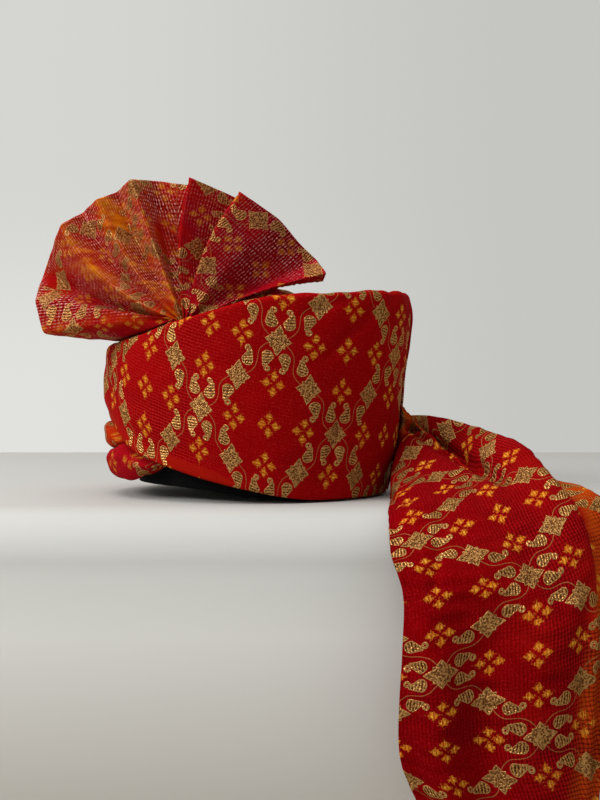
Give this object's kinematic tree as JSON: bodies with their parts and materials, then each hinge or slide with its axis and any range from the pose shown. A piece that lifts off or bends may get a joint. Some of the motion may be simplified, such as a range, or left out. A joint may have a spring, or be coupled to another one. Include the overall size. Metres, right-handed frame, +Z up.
{
  "type": "tied turban pagri",
  "caption": "Ready-tied turban: cloth wound round a stiff open cap, a pleated fan at the brow and a free tail hanging from the nape.",
  "frame": {"origin": "centre of the head opening at the mean height of its rim", "axes": "+Z up through the crown, -X the way the wearer looks, -Y toward the wearer's left ear"},
  "size_m": [0.4055, 0.2971, 0.4307],
  "materials": {
    "cap_felt": "matt black",
    "wound_cloth": "matt ribbed cotton-silk",
    "crimson_cloth": "open-weave cotton-silk with a dull gold print",
    "orange_cloth": "open-weave cotton-silk with a dull gold print",
    "fan_cloth": "sheer open weave, orange running into crimson"
  },
  "bodies": {
    "root": {"inner_cap": "cap_felt", "inner_layers": "wound_cloth", "near_wrap": "crimson_cloth", "far_wrap": "crimson_cloth", "brow_roll_upper": "orange_cloth", "brow_roll_lower": "crimson_cloth", "crown_top": "wound_cloth", "turra_fan": "fan_cloth", "tail": "crimson_cloth"}
  },
  "joints": []
}
